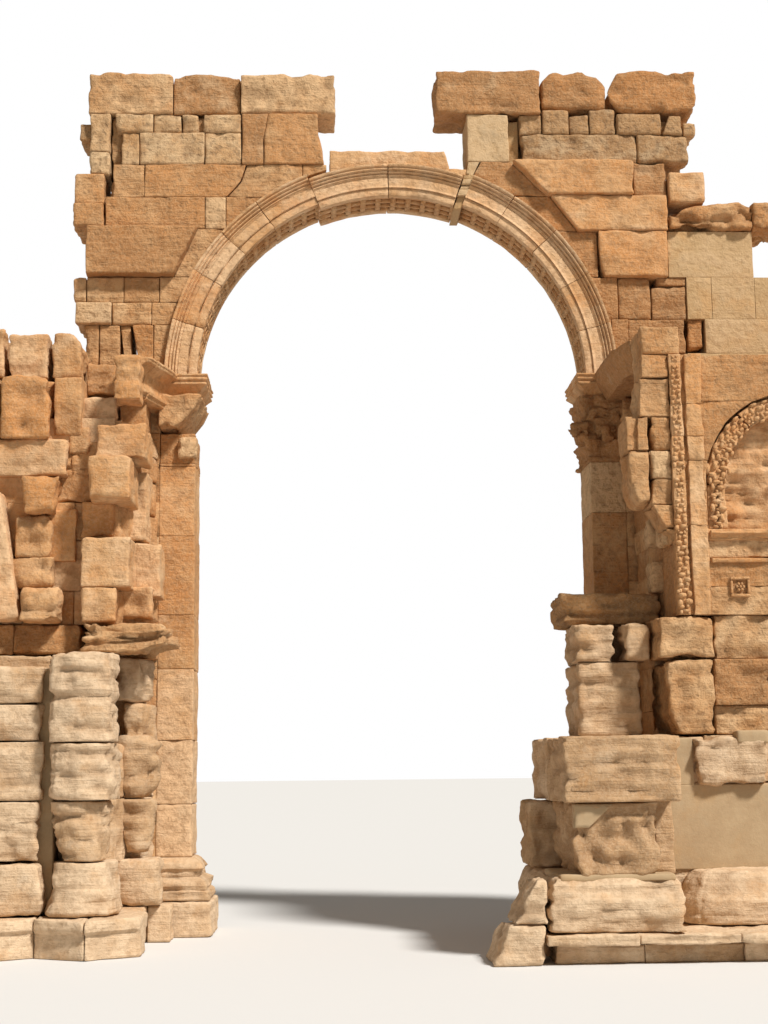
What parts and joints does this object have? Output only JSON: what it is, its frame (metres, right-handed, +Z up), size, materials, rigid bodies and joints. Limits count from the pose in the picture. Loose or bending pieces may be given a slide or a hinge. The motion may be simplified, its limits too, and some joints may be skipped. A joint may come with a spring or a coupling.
{
  "type": "ruined triumphal arch",
  "caption": "Ruined Roman triumphal arch in golden limestone, with its moulded ring, slipped crown stones and two forward piers.",
  "frame": {"origin": "at street level, midway between the outer ends and midway between front and back, on the centre line of the passage", "axes": "+X to the right seen from the front, +Y through the passage away from the front, +Z up"},
  "size_m": [17.3997, 6.2694, 15.4006],
  "materials": {
    "honey_limestone": "worn, warm honey limestone with pits",
    "ochre_limestone": "rough, orange ochre limestone with pits and stains",
    "cream_limestone": "eroded, pale cream limestone with bedding hollows",
    "brown_limestone": "rough, darker brown pitted limestone",
    "fresh_limestone": "smooth, newly cut pale limestone"
  },
  "bodies": {
    "root": {"arch_ring_left": "honey_limestone", "arch_ring_right": "honey_limestone", "slipped_crown_stones": "honey_limestone", "joint_packing": "fresh_limestone", "crown_slab": "honey_limestone", "spandrel_left": "ochre_limestone", "spandrel_right": "ochre_limestone", "upper_courses_left": "brown_limestone", "upper_courses_right": "ochre_limestone", "top_stones_left": "ochre_limestone", "top_stones_right": "honey_limestone", "corner_block_left": "ochre_limestone", "corner_post_right": "fresh_limestone", "projecting_stones_left": "ochre_limestone", "projecting_stones_right": "honey_limestone", "broken_cornice_right": "ochre_limestone", "restored_ashlar_right": "fresh_limestone", "impost_left": "honey_limestone", "impost_right": "honey_limestone", "impost_return_left": "honey_limestone", "capital_left": "ochre_limestone", "capital_right": "ochre_limestone", "jamb_left": "ochre_limestone", "jamb_right": "ochre_limestone", "jamb_base_left": "cream_limestone", "jamb_base_right": "cream_limestone", "rear_wall_left": "ochre_limestone", "rear_wall_right": "ochre_limestone", "pier_left_lower": "cream_limestone", "pier_left_upper": "ochre_limestone", "ledge_left": "cream_limestone", "half_column": "cream_limestone", "column_base": "cream_limestone", "plinth_left": "cream_limestone", "plinth_right": "cream_limestone", "pier_right_lower": "cream_limestone", "pier_right_upper": "ochre_limestone", "niche_shell": "honey_limestone", "carved_strips_right": "honey_limestone", "square_panel_right": "honey_limestone", "ledge_right": "cream_limestone", "pedestal_base": "cream_limestone", "pedestal_die": "cream_limestone", "pedestal_cap": "cream_limestone", "pedestal_blocks": "cream_limestone"}
  },
  "joints": []
}
